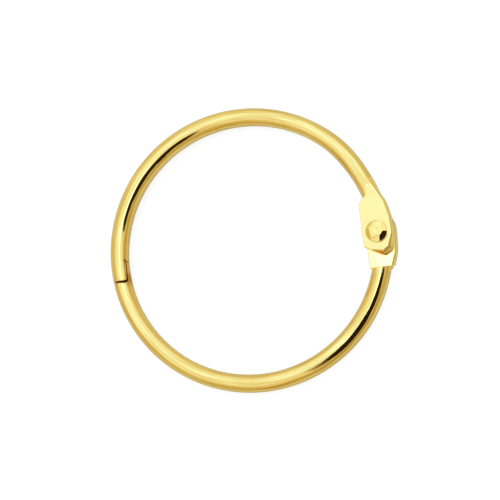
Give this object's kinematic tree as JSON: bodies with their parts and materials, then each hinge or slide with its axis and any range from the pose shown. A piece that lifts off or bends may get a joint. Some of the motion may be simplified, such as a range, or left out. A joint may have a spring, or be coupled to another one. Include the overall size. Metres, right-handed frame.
{
  "type": "hinged binder ring",
  "caption": "Hinged loose-leaf ring of round gold-plated wire: half rings turn on a rivet through lapped flat tabs and snap shut at a hooked tongue.",
  "frame": {"origin": "the closed ring's centre, in the wire's mid-plane", "axes": "+Z along the hinge rivet, towards its domed head; +X from the centre to the rivet; the upper half ring lies on the +Y side"},
  "size_m": [0.0454, 0.0448, 0.0037],
  "materials": {
    "plated_wire": "polished gold-coloured plating on steel wire, with faint drawing lines along the wire",
    "plated_rivet": "polished gold-coloured plating, with dents where the head was pressed"
  },
  "bodies": {
    "lower_half": {"lower_half_ring": "plated_wire", "hinge_rivet": "plated_rivet"},
    "upper_half": {"upper_half_ring": "plated_wire"}
  },
  "joints": [
    {"name": "ring_opens", "type": "hinge", "parent": "lower_half", "child": "upper_half", "pos_m": [0.02015, 0, 0], "axis": [0, 0, -1], "range_deg": [0, 130]}
  ]
}
